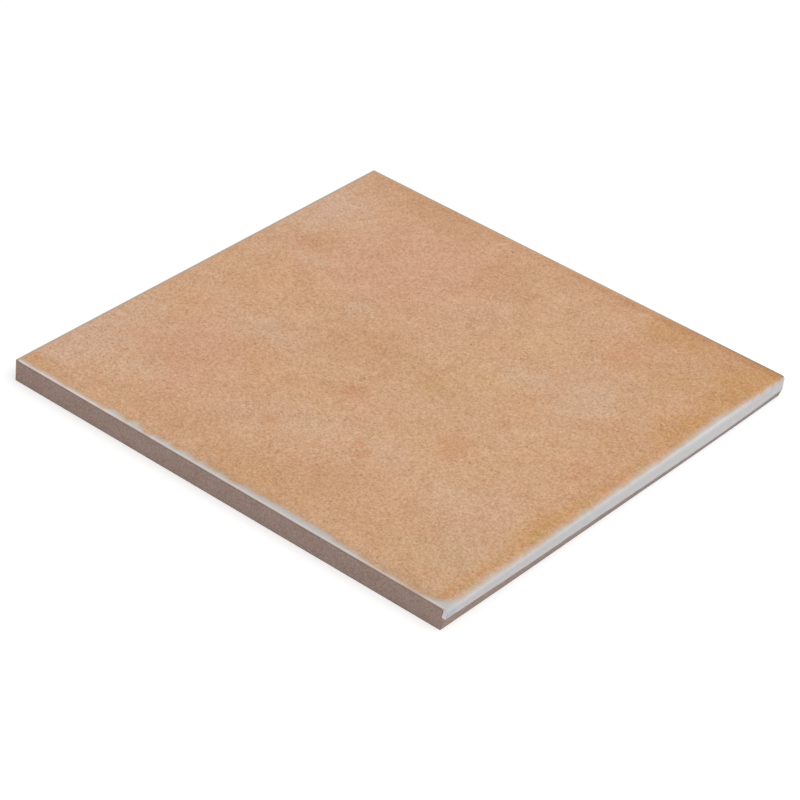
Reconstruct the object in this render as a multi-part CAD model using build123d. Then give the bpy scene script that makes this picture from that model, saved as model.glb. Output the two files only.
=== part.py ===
from build123d import *
from math import radians, tan
import os

# A dry-pressed porcelain floor tile lying face up, in millimetres.
# The origin is under the middle of the tile, on the plane that beds on the floor.
# +X is the pressed edge, rounded and glazed over; the other three edges are ground square.

# Outline and thickness
tile_length = 200.0          # X, from the ground edge to the pressed edge
tile_width = 200.0           # Y, between the two ground ends
tile_thickness = 9.3         # bedding plane to glazed face

# Pressed edge
nose_radius = 1.6            # rounding from the face into the edge, over the glaze
bevel_lean = 17.0            # lean of the bare lower bevel from upright, in degrees
bevel_height_front = 5.6     # height of that bevel at the front end, -Y
bevel_height_middle = 3.1    # halfway along the edge
bevel_height_back = 2.5      # and at the back end, +Y
bevel_clearance = 1.0        # how far the bevel's cut runs past the tile

# Ground edges
arris_break = 0.35           # 45 degree break along the top of each ground edge

# Keyed back: shallow square recesses that the bedding mortar grips
key_rows = 10                # recesses along X and along Y
key_depth = 0.7
key_draft = 35.0             # lean of a recess wall from upright, in degrees
key_corner_cut = 2.5         # cut corner of a recess in plan, at its mouth
rib_width = 3.2              # flat of a rib between two recesses
rim_width = 8.0              # flat of the rim round the field of recesses

# Values worked out from the ones above
edge_x = tile_length / 2
end_y = tile_width / 2
bevel_slope = tan(radians(bevel_lean))
key_pitch_x = (tile_length - 2 * rim_width + rib_width) / key_rows
key_pitch_y = (tile_width - 2 * rim_width + rib_width) / key_rows


def pressed_slab():
    """The tile's constant section, drawn on XZ and run the width of the tile."""
    corners = Polyline(
        (-edge_x, 0),
        (edge_x, 0),
        (edge_x, tile_thickness),
        (-edge_x, tile_thickness),
        close=True,
    )
    section = make_face(Plane.XZ * corners)
    nose_corner = section.vertices().sort_by(Axis.X)[-2:].sort_by(Axis.Z)[-1]
    section = fillet(nose_corner, nose_radius)
    return extrude(section, amount=end_y, both=True)


def break_ground_arrises(slab):
    """Break the sharp top edge of the three ground sides, past the nose at both ends."""
    top_edges = slab.edges().filter_by(Plane.XY).group_by(Axis.Z)[-1]
    ground_edge = top_edges.filter_by(Axis.Y).sort_by(Axis.X)[0]
    end_edges = top_edges.filter_by(Axis.X)
    return chamfer([ground_edge] + list(end_edges), arris_break)


def bevel_section(y, height):
    """The wedge that the lower bevel takes off the pressed edge, at one station along Y."""
    low_z = -bevel_clearance
    high_x = edge_x + bevel_slope * bevel_clearance
    outline = Polyline(
        (edge_x - bevel_slope * (height - low_z), low_z),
        (high_x, height + bevel_clearance),
        (high_x, low_z),
        close=True,
    )
    return Pos(0, y, 0) * make_face(Plane.XZ * outline)


def lower_bevel():
    """The bevel under the pressed edge, sweeping down from the front and level towards the back."""
    stations = (
        (-end_y, bevel_height_front),
        (0, bevel_height_middle),
        (end_y, bevel_height_back),
    )
    return loft([bevel_section(y, height) for y, height in stations])


def keyed_recesses():
    """The field of recesses in the back, each narrowing towards its floor."""
    mouth = Rectangle(key_pitch_x - rib_width, key_pitch_y - rib_width)
    mouth = chamfer(mouth.vertices(), key_corner_cut)
    recess = extrude(mouth, amount=key_depth, taper=key_draft)
    return GridLocations(key_pitch_x, key_pitch_y, key_rows, key_rows) * recess


tile = break_ground_arrises(pressed_slab())
tile -= lower_bevel()
tile -= keyed_recesses()

os.makedirs("parts", exist_ok=True)
export_step(tile, "parts/tile.step")
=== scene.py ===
"""A glazed porcelain tile lying face up on a pale floor, in metres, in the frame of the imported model."""

import math

import bmesh
import bpy
from mathutils import Matrix, Vector, noise


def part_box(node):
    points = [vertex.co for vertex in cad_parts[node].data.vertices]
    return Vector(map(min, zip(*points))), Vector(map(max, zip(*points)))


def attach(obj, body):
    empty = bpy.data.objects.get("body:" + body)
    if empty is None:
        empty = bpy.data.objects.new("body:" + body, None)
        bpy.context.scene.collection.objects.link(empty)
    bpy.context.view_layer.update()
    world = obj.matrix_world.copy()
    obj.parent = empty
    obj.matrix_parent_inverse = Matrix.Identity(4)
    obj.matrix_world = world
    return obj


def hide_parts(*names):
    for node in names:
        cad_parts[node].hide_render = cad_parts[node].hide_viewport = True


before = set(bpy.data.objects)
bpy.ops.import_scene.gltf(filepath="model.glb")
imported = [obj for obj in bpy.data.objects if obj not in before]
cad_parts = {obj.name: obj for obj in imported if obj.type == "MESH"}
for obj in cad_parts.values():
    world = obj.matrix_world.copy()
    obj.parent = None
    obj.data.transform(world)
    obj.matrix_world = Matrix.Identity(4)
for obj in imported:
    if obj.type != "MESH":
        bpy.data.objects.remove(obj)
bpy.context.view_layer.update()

MM = 0.001

# Tile sizes, repeated from the part; its outline and thickness come from the frame
tile_low, tile_high = (Vector(corner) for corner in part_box("tile"))
NOSE_RADIUS = 1.6 * MM
ARRIS_BREAK = 0.35 * MM
BEVEL_SLOPE = math.tan(math.radians(17.0))
BEVEL_HEIGHT_FRONT = 5.6 * MM
BEVEL_HEIGHT_MIDDLE = 3.1 * MM
BEVEL_HEIGHT_BACK = 2.5 * MM
KEY_ROWS = 10
KEY_DEPTH = 0.7 * MM
KEY_DRAFT = math.radians(35.0)
RIB_WIDTH = 3.2 * MM
RIM_WIDTH = 8.0 * MM

# Surface detail of the fired piece
GLAZE_DEPTH = 0.45 * MM          # glaze seen in section along the top of the ground edges
LIP_STEP = 0.12 * MM             # how far the glaze stands out over the bare bevel
LIP_BEAD = 0.5 * MM              # height of the thick bead at the glaze's lower edge
LIP_JAG = 0.16 * MM              # how far that edge wanders up and down
LIP_WAVES = (                    # length of its slow and its quick wander, and a row of noise for each
    (9 * MM, 3.1),
    (1.6 * MM, 7.7),
)
LIP_CURL = 0.8 * MM              # how far it turns up again at the back end
CURL_START = 0.6                 # where it starts to, from -1 at the front end to 1 at the back end
LIP_CREEP = 0.3 * MM             # how far it drew up in the middle
CREEP_MIDDLE = -0.1              # where that is, on the same measure
CREEP_SPAN = 0.4                 # and how far it reaches to either side
KEY_CORNER = 1.6 * MM            # rounding of a recess's corners, which the part cuts straight
KEY_SOFTNESS = 0.2 * MM          # rounding of the pressed edges on the back
FACE_WAVES = (                   # name, size and depth of the unevenness of the glazed face
    ("long_waves", 14 * MM, 0.05 * MM),
    ("sandy_relief", 2.6 * MM, 0.02 * MM),
)
WAVE_LEVEL = 0.7                 # strength of their texture that leaves the face where it is
LEVEL_SLACK = 0.01 * MM          # how far below the face a vertex still counts as on it
SMOOTH_BELOW = math.radians(30)  # edges with a smaller turn than this are shaded smooth
FACE_CELLS = (150, 380)          # grid over the face, along X and along Y
NOSE_STEPS = 7
WALL_ROWS = 3
BEVEL_ROWS = 3


# Modelling helpers

def edit(piece):
    """Go into edit mode on this piece alone."""
    bpy.ops.object.select_all(action="DESELECT")
    piece.select_set(True)
    bpy.context.view_layer.objects.active = piece
    bpy.ops.object.mode_set(mode="EDIT")


def leave_edit():
    bpy.ops.object.mode_set(mode="OBJECT")


def select_where(piece, kind, test):
    """Select the vertices, edges or faces of the piece being edited that pass the test."""
    mode = ("verts", "edges", "faces")
    bpy.context.tool_settings.mesh_select_mode = tuple(kind == name for name in mode)
    bpy.ops.mesh.select_all(action="DESELECT")
    mesh = bmesh.from_edit_mesh(piece.data)
    for item in getattr(mesh, kind):
        item.select_set(test(item))
    mesh.select_flush_mode()
    bmesh.update_edit_mesh(piece.data)


def add_grid(name, cells, low, high, level):
    """A flat grid between two corners, with its place in its mesh."""
    bpy.ops.object.select_all(action="DESELECT")
    bpy.ops.mesh.primitive_grid_add(
        x_subdivisions=cells[0],
        y_subdivisions=cells[1],
        size=1.0,
        location=((low[0] + high[0]) / 2, (low[1] + high[1]) / 2, level),
    )
    piece = bpy.context.object
    piece.name = name
    piece.scale = (high[0] - low[0], high[1] - low[1], 1.0)
    bpy.ops.object.transform_apply(location=True, rotation=True, scale=True)
    return piece


# The tile

def lip_height(y):
    """Top of the bare bevel, where the glaze ends: it sweeps down from the front and levels out."""
    along = 2 * (y - tile_low.y) / (tile_high.y - tile_low.y) - 1
    slant = (BEVEL_HEIGHT_BACK - BEVEL_HEIGHT_FRONT) / 2
    bow = (BEVEL_HEIGHT_BACK + BEVEL_HEIGHT_FRONT) / 2 - BEVEL_HEIGHT_MIDDLE
    curl = LIP_CURL * max((along - CURL_START) / (1 - CURL_START), 0.0) ** 2
    creep = LIP_CREEP * max(1 - ((along - CREEP_MIDDLE) / CREEP_SPAN) ** 2, 0.0)
    return BEVEL_HEIGHT_MIDDLE + slant * along + bow * along ** 2 + curl + creep


def drop_rim(tile, height, reach, inset=0.0):
    """Extrude the shell's open rim down one row.

    height(y) is the level of the row, reach the place of its pressed side, and inset how far
    its ground sides stand in from their faces.
    """
    bpy.ops.mesh.extrude_region_move()
    mesh = bmesh.from_edit_mesh(tile.data)
    rim = [vertex for vertex in mesh.verts if vertex.select]
    old_low = Vector((min(v.co.x for v in rim), min(v.co.y for v in rim)))
    old_high = Vector((max(v.co.x for v in rim), max(v.co.y for v in rim)))
    low = Vector((tile_low.x + inset, tile_low.y + inset))
    high = Vector((reach, tile_high.y - inset))
    for vertex in rim:
        across = (vertex.co.x - old_low.x) / (old_high.x - old_low.x)
        along = (vertex.co.y - old_low.y) / (old_high.y - old_low.y)
        y = low.y + along * (high.y - low.y)
        vertex.co = (low.x + across * (high.x - low.x), y, height(y))
    bmesh.update_edit_mesh(tile.data)


def shell():
    """Face, rounded nose and upright sides, open at the back."""
    flat_low = (tile_low.x + ARRIS_BREAK, tile_low.y + ARRIS_BREAK)
    flat_high = (tile_high.x - NOSE_RADIUS, tile_high.y - ARRIS_BREAK)
    tile = add_grid("glazed_tile", FACE_CELLS, flat_low, flat_high, tile_high.z)
    edit(tile)
    select_where(tile, "edges", lambda edge: edge.is_boundary)

    turns = [step * math.pi / 2 / NOSE_STEPS for step in range(1, NOSE_STEPS + 1)]
    turns.append(math.acos(1 - GLAZE_DEPTH / NOSE_RADIUS))
    for turn in sorted(turns):
        drop = NOSE_RADIUS * (1 - math.cos(turn))
        reach = tile_high.x - NOSE_RADIUS * (1 - math.sin(turn))
        drop_rim(tile, lambda y: tile_high.z - drop, reach, max(ARRIS_BREAK - drop, 0.0))

    wall_top = tile_high.z - NOSE_RADIUS
    for row in range(1, WALL_ROWS + 1):
        share = row / (WALL_ROWS + 1)
        wall_level = lambda y: wall_top + share * (lip_height(y) - wall_top)
        drop_rim(tile, wall_level, tile_high.x - LIP_STEP / 3)
    drop_rim(tile, lambda y: lip_height(y) + LIP_BEAD, tile_high.x)
    drop_rim(tile, lip_height, tile_high.x - LIP_STEP / 2)
    for row in range(BEVEL_ROWS + 1):
        share = row / BEVEL_ROWS
        bevel_level = lambda y: (1 - share) * (lip_height(y) - LIP_STEP / 2)
        drop_rim(tile, bevel_level, tile_high.x - LIP_STEP)
    leave_edit()
    return tile


def finish_zones(tile, glaze, body):
    """Glaze on the face, nose, pressed wall and top of the ground edges; bare body elsewhere."""
    tile.data.materials.append(glaze)
    tile.data.materials.append(body)
    for face in tile.data.polygons:
        on_top = face.center.z > tile_high.z - GLAZE_DEPTH
        on_wall = face.normal.x > 0.5 and face.center.z > lip_height(face.center.y)
        face.material_index = 0 if on_top or on_wall else 1


def wander_lip(tile):
    """Make the glaze's lower edge ragged, as the fired coat ends."""
    for vertex in tile.data.vertices:
        lip = lip_height(vertex.co.y)
        at_lip = abs(vertex.co.z - lip + LIP_STEP / 4) < LIP_STEP / 2
        if vertex.co.x > tile_high.x - 2 * LIP_STEP and at_lip:
            wander = sum(noise.noise(Vector((vertex.co.y / length, row, 0.0))) for length, row in LIP_WAVES)
            vertex.co.z += LIP_JAG * wander


def lean_bevel(tile):
    """Draw the shell in under the lip, so that the bare bevel leans towards the back."""
    for vertex in tile.data.vertices:
        under = lip_height(vertex.co.y) - vertex.co.z
        if under > 0:
            across = (vertex.co.x - tile_low.x) / (tile_high.x - tile_low.x)
            vertex.co.x -= across * under * BEVEL_SLOPE


def keyed_back():
    """Ribs and recesses of the back, facing down, with an edge that matches the shell's rim."""
    margin = RIM_WIDTH - RIB_WIDTH / 2
    field_low = (tile_low.x + margin, tile_low.y + margin)
    field_high = (tile_high.x - margin, tile_high.y - margin)
    back = add_grid("keyed_back", (KEY_ROWS, KEY_ROWS), field_low, field_high, tile_low.z)
    edit(back)
    bpy.context.tool_settings.mesh_select_mode = (False, False, True)
    bpy.ops.mesh.select_all(action="SELECT")
    bpy.ops.mesh.flip_normals()
    bpy.ops.mesh.inset(thickness=RIB_WIDTH / 2, use_individual=True)
    bpy.ops.mesh.bevel(offset=KEY_CORNER, segments=3, affect="VERTICES")

    cell = (field_high[0] - field_low[0]) / KEY_ROWS
    smallest_mouth = 0.7 * (cell - RIB_WIDTH) ** 2
    select_where(back, "faces", lambda face: face.calc_area() > smallest_mouth)
    bpy.ops.mesh.inset(thickness=KEY_DEPTH * math.tan(KEY_DRAFT), depth=-KEY_DEPTH, use_individual=True)
    select_where(back, "edges", lambda edge: edge.calc_face_angle(0.0) > KEY_DRAFT / 2)
    bpy.ops.mesh.bevel(offset=KEY_SOFTNESS, segments=2, affect="EDGES")

    for axis, cells in enumerate(FACE_CELLS):
        select_where(back, "edges", lambda edge: edge.is_boundary
                     and abs(edge.verts[0].co[axis] - edge.verts[1].co[axis]) > cell / 2)
        bpy.ops.mesh.subdivide(number_cuts=cells // KEY_ROWS - 1)
    leave_edit()
    return back


def close_back(tile, back):
    """Join the back to the shell and bridge the rim between them."""
    first_new_face = len(tile.data.polygons)
    bpy.ops.object.select_all(action="DESELECT")
    back.select_set(True)
    tile.select_set(True)
    bpy.context.view_layer.objects.active = tile
    bpy.ops.object.join()
    edit(tile)
    select_where(tile, "edges", lambda edge: edge.is_boundary)
    bpy.ops.mesh.bridge_edge_loops()
    bpy.ops.mesh.select_all(action="SELECT")
    bpy.ops.mesh.normals_make_consistent(inside=False)
    leave_edit()
    for face in list(tile.data.polygons)[first_new_face:]:
        face.material_index = 1


def wave_face(tile):
    """The slight unevenness of a fired glaze: long soft waves and a finer sandy relief."""
    group = tile.vertex_groups.new(name="glaze")
    glazed = []
    for vertex in tile.data.vertices:
        on_face = vertex.co.z > tile_high.z - LEVEL_SLACK
        above_lip = vertex.co.z > lip_height(vertex.co.y) + LIP_BEAD
        on_wall = vertex.co.x > tile_high.x - NOSE_RADIUS and above_lip
        if on_face or on_wall:
            glazed.append(vertex.index)
    group.add(glazed, 1.0, "REPLACE")
    for name, size, depth in FACE_WAVES:
        texture = bpy.data.textures.new(name, "CLOUDS")
        texture.noise_scale = size
        texture.noise_depth = 2
        waves = tile.modifiers.new(name, "DISPLACE")
        waves.texture = texture
        waves.texture_coords = "LOCAL"
        waves.vertex_group = group.name
        waves.mid_level = WAVE_LEVEL
        waves.strength = depth
        bpy.context.view_layer.objects.active = tile
        bpy.ops.object.modifier_apply(modifier=name)


# Materials

def linear(red, green, blue):
    """A colour given as it shows on screen, 0 to 255, as the shader takes it."""
    def channel(value):
        value /= 255
        return value / 12.92 if value <= 0.04045 else ((value + 0.055) / 1.055) ** 2.4
    return (channel(red), channel(green), channel(blue), 1.0)


class Finish:
    """A node material built up step by step, on object coordinates in millimetres."""

    def __init__(self, name):
        self.material = bpy.data.materials.new(name)
        self.material.use_nodes = True
        self.tree = self.material.node_tree
        self.shader = self.tree.nodes["Principled BSDF"]
        place = self.tree.nodes.new("ShaderNodeTexCoord").outputs["Object"]
        self.place = self.vector("SCALE", place, Scale=1 / MM)
        split = self.tree.nodes.new("ShaderNodeSeparateXYZ")
        self.link(self.place, split.inputs[0])
        self.x, self.y, self.z = split.outputs

        # Distances in from the four edges, and down from the face
        self.in_left = self.math("SUBTRACT", self.x, tile_low.x / MM)
        self.in_pressed = self.math("SUBTRACT", tile_high.x / MM, self.x)
        self.in_front = self.math("SUBTRACT", self.y, tile_low.y / MM)
        self.in_back = self.math("SUBTRACT", tile_high.y / MM, self.y)
        self.down = self.math("SUBTRACT", tile_high.z / MM, self.z)

    def link(self, value, socket):
        """Wire a socket to an input, or write a plain value on it."""
        if isinstance(value, bpy.types.NodeSocket):
            self.tree.links.new(value, socket)
        else:
            socket.default_value = value

    def math(self, operation, *values):
        node = self.tree.nodes.new("ShaderNodeMath")
        node.operation = operation
        for value, socket in zip(values, node.inputs):
            self.link(value, socket)
        return node.outputs[0]

    def vector(self, operation, *values, **named):
        node = self.tree.nodes.new("ShaderNodeVectorMath")
        node.operation = operation
        for value, socket in zip(values, node.inputs):
            self.link(value, socket)
        for name, value in named.items():
            self.link(value, node.inputs[name])
        return node.outputs["Value" if operation == "LENGTH" else "Vector"]

    def ramp(self, value, low, high, to_low=0.0, to_high=1.0, smooth=True):
        """Value from low to high mapped to to_low to to_high, and held there beyond them."""
        node = self.tree.nodes.new("ShaderNodeMapRange")
        node.interpolation_type = "SMOOTHSTEP" if smooth else "LINEAR"
        names = ("Value", "From Min", "From Max", "To Min", "To Max")
        for name, item in zip(names, (value, low, high, to_low, to_high)):
            self.link(item, node.inputs[name])
        return node.outputs["Result"]

    def curve(self, value, points, top):
        """A smooth line through given points (value, result), with results from 0 to top."""
        first, last = points[0][0], points[-1][0]
        node = self.tree.nodes.new("ShaderNodeFloatCurve")
        line = node.mapping.curves[0].points
        for _ in points[2:]:
            line.new(0.5, 0.5)
        for point, (at, result) in zip(line, points):
            point.location = ((at - first) / (last - first), result / top)
        node.mapping.update()
        self.link(self.ramp(value, first, last, smooth=False), node.inputs["Value"])
        return self.math("MULTIPLY", node.outputs[0], top)

    def noise(self, size, detail=2.0, roughness=0.5, stretch=None):
        """Soft noise whose largest patches are about this many millimetres across."""
        node = self.tree.nodes.new("ShaderNodeTexNoise")
        where = self.vector("MULTIPLY", self.place, stretch) if stretch else self.place
        self.link(where, node.inputs["Vector"])
        node.inputs["Scale"].default_value = 1.0 / size
        node.inputs["Detail"].default_value = detail
        node.inputs["Roughness"].default_value = roughness
        return node

    def swing(self, size, detail=2.0, roughness=0.5, stretch=None):
        """The same noise as a number that swings about zero."""
        return self.math("SUBTRACT", self.noise(size, detail, roughness, stretch).outputs["Fac"], 0.5)

    def mix(self, share, first, second):
        node = self.tree.nodes.new("ShaderNodeMix")
        node.data_type = "RGBA"
        for value, index in ((share, 0), (first, 6), (second, 7)):
            self.link(value, node.inputs[index])
        return node.outputs[2]

    def vary(self, colour, *swings):
        """Multiply a colour by 1 plus each swing times its own weights for red, green and blue."""
        factor = (1.0, 1.0, 1.0)
        for swing, weights in swings:
            change = self.vector("SCALE", weights, Scale=swing)
            factor = self.vector("ADD", factor, change)
        return self.vector("MULTIPLY", colour, factor)

    def play_of_hue(self, colour, size, strength):
        """Shift red, green and blue each on their own, in soft patches."""
        shift = self.vector("SUBTRACT", self.noise(size, 3.0, 0.7).outputs["Color"], (0.5, 0.5, 0.5))
        factor = self.vector("ADD", (1.0, 1.0, 1.0), self.vector("SCALE", shift, Scale=strength))
        return self.vector("MULTIPLY", colour, factor)

    def inside_corner(self, across, along, radius):
        """Depth inside two edges that meet in a rounded corner, from the depth inside each of them."""
        short_across = self.math("MAXIMUM", self.math("SUBTRACT", radius, across), 0.0)
        short_along = self.math("MAXIMUM", self.math("SUBTRACT", radius, along), 0.0)
        square = self.math("ADD", self.math("POWER", short_across, 2.0), self.math("POWER", short_along, 2.0))
        return self.math("SUBTRACT", radius, self.math("SQRT", square))

    def specks(self, spacing, chosen, radius):
        """1 in the middle of small round specks, in this share of cells this far apart."""
        node = self.tree.nodes.new("ShaderNodeTexVoronoi")
        self.link(self.place, node.inputs["Vector"])
        node.inputs["Scale"].default_value = 1.0 / spacing
        picked = self.tree.nodes.new("ShaderNodeSeparateColor")
        self.link(node.outputs["Color"], picked.inputs["Color"])
        keep = self.math("LESS_THAN", picked.outputs["Red"], chosen)
        size = self.math("MULTIPLY", picked.outputs["Green"], radius / spacing)
        spot = self.ramp(node.outputs["Distance"], size, self.math("MULTIPLY", size, 0.4), 0.0, 1.0)
        return self.math("MULTIPLY", keep, spot)

    def bump(self, height, depth):
        node = self.tree.nodes.new("ShaderNodeBump")
        node.inputs["Strength"].default_value = 1.0
        node.inputs["Distance"].default_value = depth
        self.link(height, node.inputs["Height"])
        self.link(node.outputs["Normal"], self.shader.inputs["Normal"])


# Tints of the print
SAND = linear(206, 161, 124)
ROSE = linear(207, 158, 125)
PALE = linear(206, 167, 135)
LILAC = linear(208, 168, 139)
STRAW = linear(208, 165, 121)
BROWN = linear(199, 152, 113)
OLIVE = linear(198, 154, 106)
OCHRE = linear(197, 147, 94)
RUST = linear(202, 149, 107)
ORANGE = linear(207, 156, 113)
DUN = linear(199, 161, 126)

# Glaze without print, and the fired body
CLEAR_GLAZE = linear(200, 194, 188)
ARRIS_GLAZE = linear(236, 220, 212)
RUN_GLAZE = linear(220, 217, 218)
# white glaze in section on the ends, painted paler than the run's glaze: partly painted light, standing in
# for the light on a rounded corner
SECTION_GLAZE_AND_PAINTED_LIGHT = linear(246, 238, 236)
WORN_EDGE = linear(178, 161, 147)
BODY = linear(174, 148, 137)

# Changes to a colour, for red, green and blue: paler above zero, darker below
PALER = (1.0, 1.0, 1.0)
DARKER = (-1.0, -1.0, -1.0)
FRONT_DULL = (-0.11, -0.07, -0.02)  # the band along the front edge, where the glaze is thin
BACK_INK = (-0.11, -0.19, -0.27)    # the print along the back edge, where its ink gathered
EDGE_SOIL = (-0.40, -0.44, -0.54)   # the wear on the back edge, at the right corner
BEVEL_SKIN = (0.03, 0.09, 0.10)     # the pressed skin of the bevel, against the ground edges
BEVEL_GREY = (-0.11, 0.0, 0.09)     # and that skin towards the back
SECTION_LINE = (-1.0, -1.0, -0.95)  # the line between glaze and body, where they show in section

# Clouds of colour on the face: tint, middle in millimetres, radius along X and Y, strength
CLOUDS = (
    (DUN, (80, -78), (20, 26), 0.8),
    (DUN, (-78, -48), (11, 11), 0.5),
    (ROSE, (-40, 72), (36, 28), 1.0),
    (ROSE, (-52, 38), (42, 22), 1.0),
    (ROSE, (-64, -46), (26, 32), 1.0),
    (ROSE, (-42, -68), (22, 16), 0.5),
    (ROSE, (14, -26), (14, 10), 0.3),
    (BROWN, (-20, 2), (27, 20), 0.7),
    (BROWN, (-10, 74), (14, 18), 0.9),
    (BROWN, (-60, 92), (36, 11), 1.0),
    (BROWN, (-76, 44), (9, 8), 0.8),
    (BROWN, (14, -88), (52, 14), 0.9),
    (BROWN, (26, -72), (16, 14), 0.9),
    (BROWN, (-28, -76), (20, 7), 0.5),
    (BROWN, (-14, 57), (9, 8), 0.5),
    (BROWN, (34, 4), (10, 6), 0.5),
    (BROWN, (-46, -88), (26, 8), 0.7),
    (ORANGE, (-70, 8), (28, 18), 0.4),
    (ORANGE, (-34, -38), (18, 16), 0.45),
    (ORANGE, (-86, -26), (10, 9), 0.8),
    (ORANGE, (48, 14), (10, 10), 0.6),
    (STRAW, (24, 50), (19, 15), 0.5),
    (STRAW, (26, 16), (17, 11), 0.8),
    (STRAW, (50, -38), (28, 22), 0.45),
    (STRAW, (64, -6), (13, 26), 0.25),
    (STRAW, (-12, -38), (14, 12), 0.8),
    (BROWN, (-90, 95), (14, 8), 0.6),
    (PALE, (57, 34), (19, 24), 1.0),
    (PALE, (32, 27), (14, 12), 0.9),
    (PALE, (-2, 50), (13, 20), 0.4),
    (PALE, (-50, -21), (18, 11), 0.9),
    (PALE, (-4, -52), (20, 13), 0.7),
    (PALE, (28, -44), (18, 9), 0.7),
    (PALE, (66, -46), (26, 18), 0.7),
    (PALE, (-67, -72), (12, 11), 0.9),
    (PALE, (-22, -66), (10, 11), 0.7),
    (PALE, (-36, 19), (5, 6), 1.0),
    (PALE, (-74, 30), (7, 6), 0.6),
    (PALE, (-94, 34), (10, 18), 0.6),
    (PALE, (-93, -42), (13, 18), 0.7),
    (LILAC, (-95, 66), (22, 27), 1.0),
    (LILAC, (-93, -72), (20, 29), 1.0),
    (OLIVE, (15, -2), (14, 8), 0.7),
    (OLIVE, (4, 6), (16, 7), 0.3),
    (OLIVE, (70, -82), (26, 13), 0.3),
    (OLIVE, (6, -89), (24, 10), 0.5),
    (OLIVE, (86, 14), (8, 13), 0.5),
    (OLIVE, (-92, -95), (13, 7), 0.7),
    (RUST, (-97, -95), (4, 5), 1.0),
    (OLIVE, (72, 66), (14, 18), 0.7),
    (RUST, (-5, -27), (8, 9), 0.9),
    (RUST, (43, -28), (7, 12), 0.9),
    (RUST, (23, -52), (5, 5), 1.0),
    (RUST, (52, 66), (10, 13), 0.9),
    (RUST, (16, 36), (10, 10), 0.3),
    (RUST, (-13, -60), (5, 6), 1.0),
    (RUST, (83, -8), (7, 13), 0.6),
    (BROWN, (72, 90), (32, 16), 1.0),
    (BROWN, (14, 92), (17, 9), 0.7),
    (OCHRE, (50, 90), (13, 12), 0.6),
    (OCHRE, (66, 93), (20, 10), 0.6),
    (OCHRE, (71, 42), (9, 7), 0.35),
    (OCHRE, (91, 80), (11, 28), 1.0),
    (OCHRE, (96, 95), (10, 7), 0.8),
    (OCHRE, (93, 42), (9, 18), 0.9),
    (OCHRE, (94, -38), (8, 18), 0.9),
)

CLOUD_FADE = 1.3                 # where a cloud ends, in its own radii
CLOUD_DRIFT = 30.0               # how strongly noise of the next size shifts the clouds' edges
CLOUD_DRIFT_SIZE = 13.0

# Noise over the print: its size in millimetres, and how much of red, green and blue it changes
MOTTLE_SIZE = 17.0
MOTTLE = (0.18, 0.40, 0.64)
SANDY_SIZE = 9.0
SANDY = (0.22, 0.25, 0.31)
GRAIN_SIZE = 0.8
GRAIN = (0.94, 1.53, 2.12)
SPECK_SPACING = 2.1
SPECK_SHARE = 0.35               # share of the places this far apart that have a speck
SPECK_RADIUS = 0.65
SPECK = (-0.30, -0.36, -0.42)
STIPPLE_SIZE = 1.3
CLUSTER_SIZE = 11.0              # the stipple comes in clusters
STIPPLE = (-0.15, -0.17, -0.20)

# The same on the bare glaze and on the body
GLAZE_MOTTLE_SIZE = 2.4
GLAZE_MOTTLE = (0.16, 0.13, 0.12)
GLAZE_GRAIN = (0.12, 0.12, 0.12)
BODY_GRAIN_SIZE = 0.9
BODY_GRAIN = (1.40, 1.50, 1.62)
BODY_MOTTLE_SIZE = 7.0
BODY_MOTTLE = (0.30, 0.42, 0.48)

# Sheen and fine relief
GLAZE_ROUGHNESS = (0.5, 0.62)
GLAZE_SPECULAR = 0.4
GLAZE_BUMP = 0.03 * MM
BODY_ROUGHNESS = (0.75, 0.9)
BODY_BUMP = 0.05 * MM

# Where the print stops: (place along the front edge, distance from it), in millimetres
FRONT_MARGIN = (
    (-100, 1.1),
    (-62, 1.2),
    (-50, 1.6),
    (-22, 1.7),
    (6, 2.0),
    (32, 2.8),
    (54, 1.8),
    (74, 0.5),
    (100, 0.2),
)
MARGIN_TOP = 4.0
# How ragged that edge is, along the same edge
FRONT_JAG = (
    (-100, 2.5),
    (-62, 3.0),
    (-48, 10.0),
    (-6, 9.0),
    (20, 2.0),
    (50, 3.0),
    (100, 3.0),
)
JAG_TOP = 12.0
# The same beside the pressed edge: (place along it, distance up its rounding)
PRESSED_MARGIN = (
    (-100, 3.0),
    (-70, 2.7),
    (-45, 2.45),
    (-20, 2.3),
    (5, 2.25),
    (30, 2.4),
    (52, 2.9),
    (64, 2.5),
    (80, 1.1),
    (100, 1.0),
)
PRINT_CORNER = 8.0               # rounding of the print where the two margins meet
PRINT_FADE = 3.1                 # from bare glaze to full print
FADE_GRAIN = 1.6                 # how strongly the grain breaks up that fade
PRESSED_FADE = 0.64              # how much slower the print fades over the pressed edge
FRONT_WAVE = 8.0                 # size of the noise in the print's edge along the front
PRESSED_WAVE = 6.0               # and along the pressed edge
PRESSED_JAG = 4.5                # how ragged the print's edge is there
INK_JAG = 9.0                    # and how ragged the gathered ink beside it

# Where a change comes in or goes out: two places in millimetres, and how strong it is at each
# In from the print's edge
INK_RISE = (1.0, 4.5, 0.0, 1.0)          # ink that gathered beside the pressed edge
INK_FALL = (4.5, 9.0, 0.5, 0.0)
INK_RIM = (0.3, 4.5, 0.25, 0.0)          # and all along the print's edge
HUE_PLAY = (2.0, 10.0, 0.5, 0.0)         # play of hue beside the pressed edge
# Down from the face
RUN_DOWN = (0.1, 0.9, 0.0, 1.0)          # the run of glaze over the pressed edge
RUN_TOP = (1.8, 3.2, 1.0, 0.0)           # the upper part of that run
PAINTED_BREAK_SHADE = (0.1, 0.35, 0.0, 0.2)       # painted shade on the broken front arris
WORN_DOWN = (0.4, 0.6, 1.0, 0.0)         # wear on the two far edges
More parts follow.
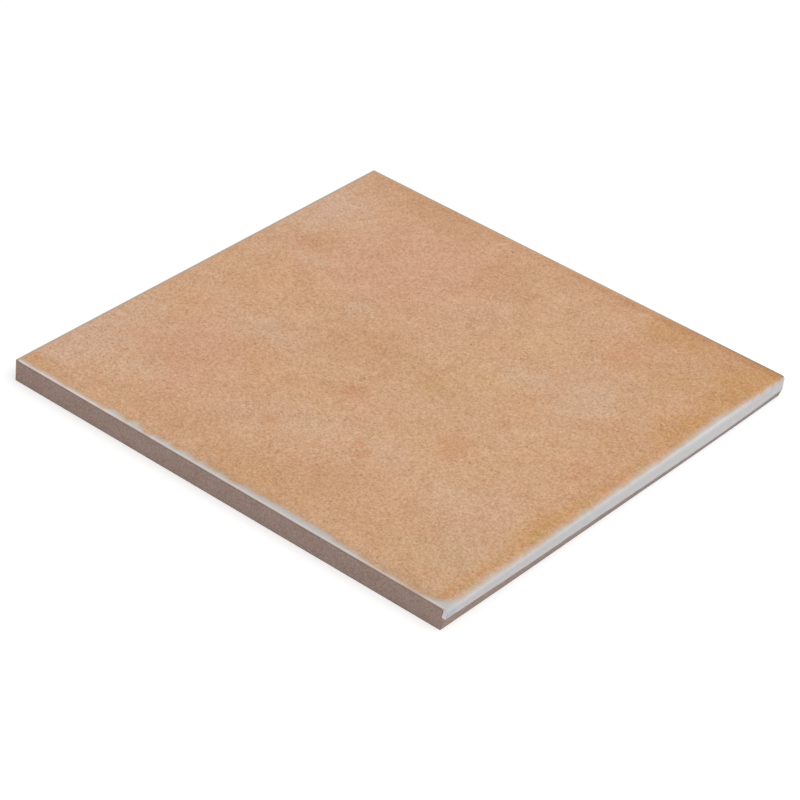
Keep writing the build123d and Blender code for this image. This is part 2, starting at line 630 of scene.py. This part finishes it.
# In from an edge of the tile
ARRIS_IN = (0.4, 0.8, 1.0, 0.0)          # whiter glaze on the front arris
ARRIS_STOP = (1.2, 2.5, 0.0, 1.0)        # where it ends at the pressed edge
DULL_RISE = (0.5, 1.2, 0.0, 1.0)         # the dull band along the front
DULL_FALL = (2.5, 7.0, 1.0, 0.0)
BACK_IN = (3.0, 6.0, 1.0, 0.0)           # ink that gathered along the back
WORN_IN = (0.6, 1.9, 0.9, 0.0)           # wear on the two far edges
# Along X
ARRIS_ALONG = (-62.0, -42.0, 0.0, 1.0)   # from the whitest part of the front arris to the part with painted shade
DULL_ALONG = (-70.0, 20.0, 0.25, 1.0)
BACK_ALONG = (-60.0, 60.0, 0.4, 1.0)
SOIL_ALONG = (30.0, 95.0, 0.0, 1.0)
# Along Y
RUN_SHADE = (-100.0, 100.0, 0.06, 0.02)  # shade on the run of glaze
PAINTED_NOSE_HIGHLIGHT = (-60.0, 90.0, 0.0, 0.09)    # and a painted highlight on its upper part
BEVEL_ALONG = (-100.0, 60.0, 0.0, 1.0)   # the bevel's greyer skin

# Sections and foot of the bare body, in millimetres
RUN_SECTION = (0.0, 4.0, 1.0, 2.0)       # down from the face: how thick the run of glaze is in section
RUN_CORNER = 1.2                         # rounding of the body under the glaze
END_SLACK = 0.05                         # how far in from an end a point still counts as on it
TONGUE_HANG = 0.4                        # how far the run's tongue hangs below the top of the bevel
TONGUE_CORNER = 0.7                      # rounding of its tip
TONGUE_EDGE = (-0.05, 0.1, 0.0, 1.0)     # its edge
LINE_INNER = (0.2, 0.55, 0.34, 0.0)      # the line between glaze and body, from the glaze inwards
LINE_OUTER = (-0.1, 0.0, 0.0, 1.0)
LINE_END = (-0.4, 0.2, 0.0, 1.0)         # its lower end
BEVEL_REACH = 2.2                        # furthest that the bevel stands in from the pressed edge
FOOT_IN = (BEVEL_REACH, 2 * BEVEL_REACH, 1.0, 0.0)  # shade at the foot of the sides, in from an edge
FOOT_UP = (0.1, 0.5, 0.25, 0.0)          # and up from the floor


def clouded_print(glaze):
    """The print's own colour: clouds of warm tints with ragged edges."""
    drift = glaze.noise(CLOUD_DRIFT_SIZE, 6.0, 0.75).outputs["Color"]
    drift = glaze.vector("SUBTRACT", drift, (0.5, 0.5, 0.5))
    loose_place = glaze.vector("ADD", glaze.place, glaze.vector("SCALE", drift, Scale=CLOUD_DRIFT))
    tint = SAND
    for colour, middle, radius, strength in CLOUDS:
        away = glaze.vector("SUBTRACT", loose_place, (middle[0], middle[1], 0.0))
        away = glaze.vector("MULTIPLY", away, (1 / radius[0], 1 / radius[1], 0.0))
        share = glaze.ramp(glaze.vector("LENGTH", away), 0.0, CLOUD_FADE, strength, 0.0)
        tint = glaze.mix(share, tint, colour)
    return tint


def printed_colour(glaze, grain):
    """The print with its noise, and how deep each point lies inside the print's ragged edge."""
    wave = glaze.swing(FRONT_WAVE, 3.0, 0.6, stretch=(1.0, 0.4, 0.0))
    jag = glaze.math("MULTIPLY", wave, glaze.curve(glaze.x, FRONT_JAG, JAG_TOP))
    front_margin = glaze.math("ADD", glaze.curve(glaze.x, FRONT_MARGIN, MARGIN_TOP), jag)
    from_front = glaze.math("SUBTRACT", glaze.in_front, front_margin)
    ripple = glaze.swing(PRESSED_WAVE, 4.0, 0.7, stretch=(0.4, 1.0, 0.0))
    pressed_margin = glaze.curve(glaze.y, PRESSED_MARGIN, MARGIN_TOP)
    pressed_margin = glaze.math("ADD", glaze.math("MULTIPLY", ripple, PRESSED_JAG), pressed_margin)
    up_the_nose = glaze.math("SUBTRACT", glaze.in_pressed, glaze.down)
    up_the_nose = glaze.math("ADD", up_the_nose, NOSE_RADIUS / MM)
    from_pressed = glaze.math("SUBTRACT", up_the_nose, pressed_margin)
    slow_fade = glaze.math("MULTIPLY", from_pressed, PRESSED_FADE)
    depth = glaze.inside_corner(slow_fade, from_front, PRINT_CORNER)

    # Richer where the ink gathered along the print's edge
    tint = clouded_print(glaze)
    gathered = glaze.math("ADD", from_pressed, glaze.math("MULTIPLY", ripple, INK_JAG))
    band = glaze.math("MULTIPLY", glaze.ramp(gathered, *INK_RISE), glaze.ramp(gathered, *INK_FALL))
    tint = glaze.mix(band, tint, OCHRE)
    tint = glaze.mix(glaze.ramp(depth, *INK_RIM), tint, OCHRE)
    tint = glaze.mix(glaze.ramp(from_pressed, *HUE_PLAY), tint, glaze.play_of_hue(tint, 5.0, 0.9))

    stipple = glaze.ramp(glaze.swing(STIPPLE_SIZE, 2.0, 0.6), 0.02, 0.2)
    clusters = glaze.ramp(glaze.swing(CLUSTER_SIZE, 3.0, 0.7), -0.1, 0.15, 0.2, 1.0)
    printed = glaze.vary(
        tint,
        (glaze.swing(MOTTLE_SIZE, 4.0, 0.9), MOTTLE),
        (glaze.swing(SANDY_SIZE, 2.0, 1.0), SANDY),
        (grain, GRAIN),
        (glaze.specks(SPECK_SPACING, SPECK_SHARE, SPECK_RADIUS), SPECK),
        (glaze.math("MULTIPLY", stipple, clusters), STIPPLE),
    )
    return printed, depth


def unprinted_colour(glaze, grain):
    """Bare glaze: thin beside the print, whiter on the front arris and where it ran over the pressed edge."""
    run = glaze.ramp(glaze.down, *RUN_DOWN)
    bare = glaze.mix(run, CLEAR_GLAZE, RUN_GLAZE)
    on_arris = glaze.ramp(glaze.in_front, *ARRIS_IN)
    rightwards = glaze.ramp(glaze.x, *ARRIS_ALONG)
    whiter = glaze.math("MULTIPLY", on_arris, glaze.ramp(rightwards, 0.0, 1.0, 1.0, 0.5))
    whiter = glaze.math("MULTIPLY", whiter, glaze.ramp(glaze.in_pressed, *ARRIS_STOP))
    bare = glaze.mix(whiter, bare, ARRIS_GLAZE)
    # Painted shade on the broken front arris, on its part towards the pressed edge
    painted_break_shade = glaze.math("MULTIPLY", on_arris, glaze.ramp(glaze.down, *PAINTED_BREAK_SHADE))
    painted_break_shade = glaze.math("MULTIPLY", painted_break_shade, rightwards)
    run_shade = glaze.math("MULTIPLY", run, glaze.ramp(glaze.y, *RUN_SHADE))
    upper_run = glaze.math("MULTIPLY", run, glaze.ramp(glaze.down, *RUN_TOP))
    # Painted highlight on the upper part of the run, growing towards the back
    painted_nose_highlight = glaze.math("MULTIPLY", upper_run, glaze.ramp(glaze.y, *PAINTED_NOSE_HIGHLIGHT))
    bare = glaze.vary(
        bare,
        (glaze.swing(GLAZE_MOTTLE_SIZE, 3.0, 0.7), GLAZE_MOTTLE),
        (grain, GLAZE_GRAIN),
        (painted_break_shade, DARKER),
        (run_shade, DARKER),
        (painted_nose_highlight, PALER),
    )
    return glaze.play_of_hue(bare, 6.0, 0.16)


def printed_glaze():
    """Matte glaze with a sandy printed colour that stops short of the front and pressed edges."""
    glaze = Finish("printed_glaze")
    grain = glaze.swing(GRAIN_SIZE, 2.0, 0.75)
    printed, depth = printed_colour(glaze, grain)
    fade = glaze.math("ADD", depth, glaze.math("MULTIPLY", grain, FADE_GRAIN))
    cover = glaze.ramp(fade, -PRINT_FADE / 2, PRINT_FADE / 2)
    colour = glaze.mix(cover, unprinted_colour(glaze, grain), printed)

    # A duller band along the front, where the glaze is thin
    dull = glaze.ramp(glaze.in_front, *DULL_RISE)
    dull = glaze.math("MULTIPLY", dull, glaze.ramp(glaze.in_front, *DULL_FALL))
    dull = glaze.math("MULTIPLY", dull, glaze.ramp(glaze.x, *DULL_ALONG))
    colour = glaze.vary(colour, (dull, FRONT_DULL))

    # The two far edges, where the print runs to the arris and is worn off it
    inked = glaze.math("MULTIPLY", cover, glaze.ramp(glaze.in_back, *BACK_IN))
    inked = glaze.math("MULTIPLY", inked, glaze.ramp(glaze.x, *BACK_ALONG))
    colour = glaze.vary(colour, (inked, BACK_INK))
    worn = glaze.ramp(glaze.math("MINIMUM", glaze.in_left, glaze.in_back), *WORN_IN)
    worn = glaze.math("MULTIPLY", worn, glaze.ramp(glaze.down, *WORN_DOWN))
    wear = glaze.vary(WORN_EDGE[:3], (glaze.ramp(glaze.x, *SOIL_ALONG), EDGE_SOIL))
    colour = glaze.mix(worn, colour, wear)

    glaze.link(colour, glaze.shader.inputs["Base Color"])
    roughness = glaze.ramp(glaze.noise(2.0).outputs["Fac"], 0.3, 0.7, *GLAZE_ROUGHNESS)
    glaze.link(roughness, glaze.shader.inputs["Roughness"])
    glaze.shader.inputs["Specular IOR Level"].default_value = GLAZE_SPECULAR
    glaze.bump(glaze.noise(0.7, 3.0, 0.6).outputs["Fac"], GLAZE_BUMP)
    return glaze.material


def bare_body():
    """Unglazed fired porcelain: taupe, matte, finely granular, with the glaze in section on its ends."""
    body = Finish("bare_body")
    colour = body.vary(
        BODY[:3],
        (body.swing(BODY_GRAIN_SIZE, 3.0, 0.75), BODY_GRAIN),
        (body.swing(BODY_MOTTLE_SIZE, 4.0, 0.8), BODY_MOTTLE),
    )
    colour = body.play_of_hue(colour, 2.5, 0.3)

    # The section of the tile inside its glaze, which ran down the pressed edge to a rounded tongue
    run_width = body.ramp(body.down, *RUN_SECTION, smooth=False)
    from_run = body.math("SUBTRACT", body.in_pressed, run_width)
    from_face = body.math("SUBTRACT", body.down, GLAZE_DEPTH / MM)
    inside = body.inside_corner(from_run, from_face, RUN_CORNER)
    in_end = body.math("MINIMUM", body.in_front, body.in_back)
    on_end = body.math("LESS_THAN", in_end, END_SLACK)
    tongue_ends = (lip_height(end) / MM - TONGUE_HANG for end in (tile_low.y, tile_high.y))
    tongue_end = body.ramp(body.y, tile_low.y / MM, tile_high.y / MM, *tongue_ends)
    above_end = body.math("SUBTRACT", body.z, tongue_end)
    line = body.math("MULTIPLY", body.ramp(inside, *LINE_INNER), body.ramp(inside, *LINE_OUTER))
    line = body.math("MULTIPLY", line, body.ramp(above_end, *LINE_END))

    # The foot of the sides, and the pressed skin of the bevel
    in_side = body.math("MINIMUM", body.in_left, body.in_pressed)
    foot = body.ramp(body.math("MINIMUM", in_side, in_end), *FOOT_IN)
    foot = body.math("MULTIPLY", foot, body.ramp(body.z, *FOOT_UP))
    bevel = body.math("LESS_THAN", body.in_pressed, BEVEL_REACH)
    bevel = body.math("MULTIPLY", bevel, body.math("SUBTRACT", 1.0, on_end))
    towards_back = body.math("MULTIPLY", bevel, body.ramp(body.y, *BEVEL_ALONG))
    colour = body.vary(
        colour,
        (line, SECTION_LINE),
        (foot, DARKER),
        (bevel, BEVEL_SKIN),
        (towards_back, BEVEL_GREY),
    )
    # The glaze's tongue on the ends, in a white that is partly painted light
    tongue = body.inside_corner(above_end, body.math("MULTIPLY", inside, -1.0), TONGUE_CORNER)
    tongue = body.math("MULTIPLY", body.ramp(tongue, *TONGUE_EDGE), on_end)
    colour = body.mix(tongue, colour, SECTION_GLAZE_AND_PAINTED_LIGHT)

    body.link(colour, body.shader.inputs["Base Color"])
    roughness = body.ramp(body.noise(1.5).outputs["Fac"], 0.3, 0.7, *BODY_ROUGHNESS)
    body.link(roughness, body.shader.inputs["Roughness"])
    body.bump(body.noise(0.5, 4.0, 0.65).outputs["Fac"], BODY_BUMP)
    return body.material


# Floor, light and camera

KEY_LIGHT = 0.42                 # share of the face's light that comes from the large lamp
SKY_LIGHT = 0.6
FLOOR_GREY = 0.6
FLOOR_SIZE = 8.0
FLOOR_GAP = 0.02 * MM            # how far the floor lies under the tile, so that the two don't coincide
FLOOR_LIFT = 0.5                 # added where the camera looks straight at the floor, so that it reads white
LAMP_TOWARDS = Vector((0.46, 0.04, 0.89)).normalized()
LAMP_DISTANCE = 3.0
LAMP_SIZE = 2.4

AIM = Vector((11.71, -17.91, 9.3)) * MM   # where the middle of the picture falls on the face
CAMERA_DISTANCE = 1106.76 * MM
CAMERA_AZIMUTH = math.radians(36.204)
CAMERA_ELEVATION = math.radians(34.397)
CAMERA_ROLL = math.radians(6.199)
CAMERA_LENS = 138.739


def seen_directly(tree):
    """1 where the camera, a reflection or a clear body looks straight at the surface."""
    path = tree.nodes.new("ShaderNodeLightPath")
    seen = path.outputs["Is Camera Ray"]
    for name in ("Is Glossy Ray", "Is Transmission Ray"):
        either = tree.nodes.new("ShaderNodeMath")
        either.operation = "MAXIMUM"
        tree.links.new(seen, either.inputs[0])
        tree.links.new(path.outputs[name], either.inputs[1])
        seen = either.outputs[0]
    return seen


def pale_floor():
    material = bpy.data.materials.new("pale_floor")
    material.use_nodes = True
    tree = material.node_tree
    shader = tree.nodes["Principled BSDF"]
    shader.inputs["Base Color"].default_value = (FLOOR_GREY, FLOOR_GREY, FLOOR_GREY, 1.0)
    shader.inputs["Roughness"].default_value = 1.0
    shader.inputs["Specular IOR Level"].default_value = 0.0
    shader.inputs["Emission Color"].default_value = (1.0, 1.0, 1.0, 1.0)
    lift = tree.nodes.new("ShaderNodeMath")
    lift.operation = "MULTIPLY"
    lift.inputs[1].default_value = FLOOR_LIFT
    tree.links.new(seen_directly(tree), lift.inputs[0])
    tree.links.new(lift.outputs[0], shader.inputs["Emission Strength"])
    bpy.ops.object.select_all(action="DESELECT")
    bpy.ops.mesh.primitive_plane_add(size=FLOOR_SIZE, location=(0, 0, tile_low.z - FLOOR_GAP))
    floor = bpy.context.object
    floor.name = "floor"
    floor.data.materials.append(material)


def soft_light():
    world = bpy.data.worlds.new("studio")
    bpy.context.scene.world = world
    world.use_nodes = True
    tree = world.node_tree
    strength = tree.nodes.new("ShaderNodeMapRange")
    tree.links.new(seen_directly(tree), strength.inputs["Value"])
    strength.inputs["To Min"].default_value = SKY_LIGHT
    strength.inputs["To Max"].default_value = 1.0
    background = tree.nodes["Background"]
    background.inputs["Color"].default_value = (1.0, 1.0, 1.0, 1.0)
    tree.links.new(strength.outputs["Result"], background.inputs["Strength"])

    lamp_data = bpy.data.lights.new("large_softbox", "AREA")
    lamp_data.shape = "SQUARE"
    lamp_data.size = LAMP_SIZE
    lamp_data.energy = KEY_LIGHT * math.pi ** 2 * LAMP_DISTANCE ** 2 / LAMP_TOWARDS.z
    lamp = bpy.data.objects.new("large_softbox", lamp_data)
    lamp.location = LAMP_TOWARDS * LAMP_DISTANCE
    lamp.rotation_euler = LAMP_TOWARDS.to_track_quat("Z", "Y").to_euler()
    bpy.context.scene.collection.objects.link(lamp)


def photo_camera():
    back = Vector((
        math.sin(CAMERA_AZIMUTH) * math.cos(CAMERA_ELEVATION),
        -math.cos(CAMERA_AZIMUTH) * math.cos(CAMERA_ELEVATION),
        math.sin(CAMERA_ELEVATION),
    ))
    camera_data = bpy.data.cameras.new("camera")
    camera_data.sensor_width = 36.0
    camera_data.lens = CAMERA_LENS
    camera_data.clip_end = 50.0
    camera = bpy.data.objects.new("camera", camera_data)
    turn = back.to_track_quat("Z", "Y").to_matrix() @ Matrix.Rotation(CAMERA_ROLL, 3, "Z")
    camera.matrix_world = Matrix.Translation(AIM + back * CAMERA_DISTANCE) @ turn.to_4x4()
    bpy.context.scene.collection.objects.link(camera)
    bpy.context.scene.camera = camera


tile = shell()
finish_zones(tile, printed_glaze(), bare_body())
wander_lip(tile)
lean_bevel(tile)
close_back(tile, keyed_back())
wave_face(tile)
bpy.ops.object.shade_smooth_by_angle(angle=SMOOTH_BELOW)
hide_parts("tile")
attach(tile, "root")

pale_floor()
soft_light()
photo_camera()
bpy.context.scene.view_settings.view_transform = "Standard"
